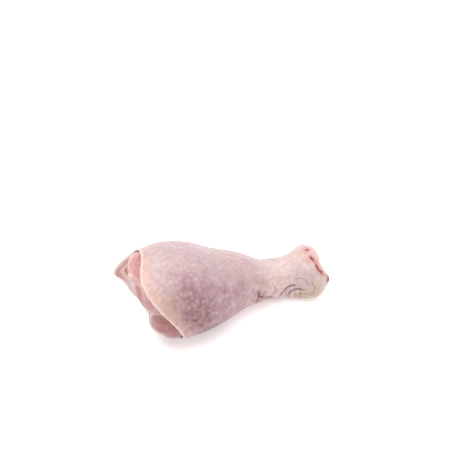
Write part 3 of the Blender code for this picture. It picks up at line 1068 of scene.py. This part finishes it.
def camera_axes():
    """Unit vectors back to the camera, to its right and up."""
    a, e = math.radians(CAMERA_AZIMUTH), math.radians(CAMERA_ELEVATION)
    back = Vector((math.sin(a) * math.cos(e), -math.cos(a) * math.cos(e), math.sin(e)))
    right = Vector((math.cos(a), math.sin(a), 0.0))
    return back, right, back.cross(right)


def add_camera():
    """A long lens that looks down on the leg from the near side."""
    back, right, up = camera_axes()
    aim = Vector(leg_origin()) + right * AIM_RIGHT + up * AIM_UP
    data = bpy.data.cameras.new("camera")
    data.lens, data.sensor_width = LENS, SENSOR
    camera = bpy.data.objects.new("camera", data)
    camera.rotation_mode = "QUATERNION"
    camera.location = aim + back * (FRAME_WIDTH * LENS / SENSOR)
    camera.rotation_quaternion = back.to_track_quat("Z", "Y")
    bpy.context.scene.collection.objects.link(camera)
    bpy.context.scene.camera = camera


def add_floor():
    """A wide pale surface under the leg."""
    mesh = bpy.data.meshes.new("floor")
    corners = [(x * FLOOR_HALF, y * FLOOR_HALF, 0.0) for x, y in ((-1, -1), (1, -1), (1, 1), (-1, 1))]
    mesh.from_pydata(corners, [], [(0, 1, 2, 3)])
    made = bpy.data.materials.new("pale_floor")
    made.use_nodes = True
    surface = made.node_tree.nodes["Principled BSDF"]
    set_inputs(surface, Base_Color=(*colours().floor, 1.0), Roughness=0.7, Specular_IOR_Level=0.2,
               Emission_Color=(1.0, 1.0, 1.0, 1.0), Emission_Strength=FLOOR_GLOW)
    mesh.materials.append(made)
    floor = bpy.data.objects.new("floor", mesh)
    bpy.context.scene.collection.objects.link(floor)


def add_softbox(name, place, size, power):
    """A square light that faces the leg."""
    data = bpy.data.lights.new(name, "AREA")
    data.shape, data.size, data.energy = "SQUARE", size, power
    lamp = bpy.data.objects.new(name, data)
    lamp.location = place
    lamp.rotation_mode = "QUATERNION"
    lamp.rotation_quaternion = Vector(place).to_track_quat("Z", "Y")
    bpy.context.scene.collection.objects.link(lamp)


def add_sky(strength):
    """Even light from all round, which itself looks plain white: full strength only for the camera's rays."""
    world = bpy.data.worlds.new("studio")
    world.use_nodes = True
    tree = world.node_tree
    background = tree.nodes["Background"]
    background.inputs["Color"].default_value = (1.0, 1.0, 1.0, 1.0)
    seen = tree.nodes.new("ShaderNodeLightPath").outputs["Is Camera Ray"]
    link(tree, sum_of(tree, "MAXIMUM", seen, strength), background.inputs["Strength"])
    bpy.context.scene.world = world


# ---------------------------------------------------------------- add-on


class MESH_OT_drumstick_skin(bpy.types.Operator):
    """Add the drumstick's skin"""

    bl_idname = "mesh.drumstick_skin"
    bl_label = "Skin"

    def execute(self, context):
        make_skin()
        return {"FINISHED"}


class MESH_OT_drumstick_meat(bpy.types.Operator):
    """Add the meat inside the skin"""

    bl_idname = "mesh.drumstick_meat"
    bl_label = "Meat"

    def execute(self, context):
        make_meat()
        return {"FINISHED"}


class MESH_OT_drumstick_bone(bpy.types.Operator):
    """Add the bone and its cartilage"""

    bl_idname = "mesh.drumstick_bone"
    bl_label = "Bone"

    def execute(self, context):
        make_bone()
        return {"FINISHED"}


class SCENE_OT_drumstick_stage(bpy.types.Operator):
    """Add the floor, the lights and the camera"""

    bl_idname = "scene.drumstick_stage"
    bl_label = "Stage"

    def execute(self, context):
        context.scene.view_settings.view_transform = "Standard"
        add_floor()
        add_camera()
        for softbox in SOFTBOXES:
            add_softbox(*softbox)
        add_sky(SKY_STRENGTH)
        return {"FINISHED"}


class VIEW3D_PT_drumstick(bpy.types.Panel):
    """Sizes, colours and the buttons that build each piece"""

    bl_label = "Drumstick"
    bl_space_type = "VIEW_3D"
    bl_region_type = "UI"
    bl_category = "Drumstick"

    def draw(self, context):
        for group in (context.scene.drumstick_sizes, context.scene.drumstick_colours):
            for key in group.__annotations__:
                self.layout.prop(group, key)
        for operator in OPERATORS:
            self.layout.operator(operator.bl_idname)


OPERATORS = (MESH_OT_drumstick_skin, MESH_OT_drumstick_meat, MESH_OT_drumstick_bone,
             SCENE_OT_drumstick_stage)
CLASSES = (DrumstickSizes, DrumstickColours, *OPERATORS, VIEW3D_PT_drumstick)


def register():
    """Adds the operators, the panel and the settings to Blender."""
    for each in CLASSES:
        bpy.utils.register_class(each)
    bpy.types.Scene.drumstick_sizes = PointerProperty(type=DrumstickSizes)
    bpy.types.Scene.drumstick_colours = PointerProperty(type=DrumstickColours)


def unregister():
    """Takes them away again."""
    del bpy.types.Scene.drumstick_colours
    del bpy.types.Scene.drumstick_sizes
    for each in reversed(CLASSES):
        bpy.utils.unregister_class(each)


def main():
    """Builds every piece and the stage."""
    register()
    bpy.ops.mesh.drumstick_skin()
    bpy.ops.mesh.drumstick_meat()
    bpy.ops.mesh.drumstick_bone()
    bpy.ops.scene.drumstick_stage()


if __name__ == "__main__":
    main()
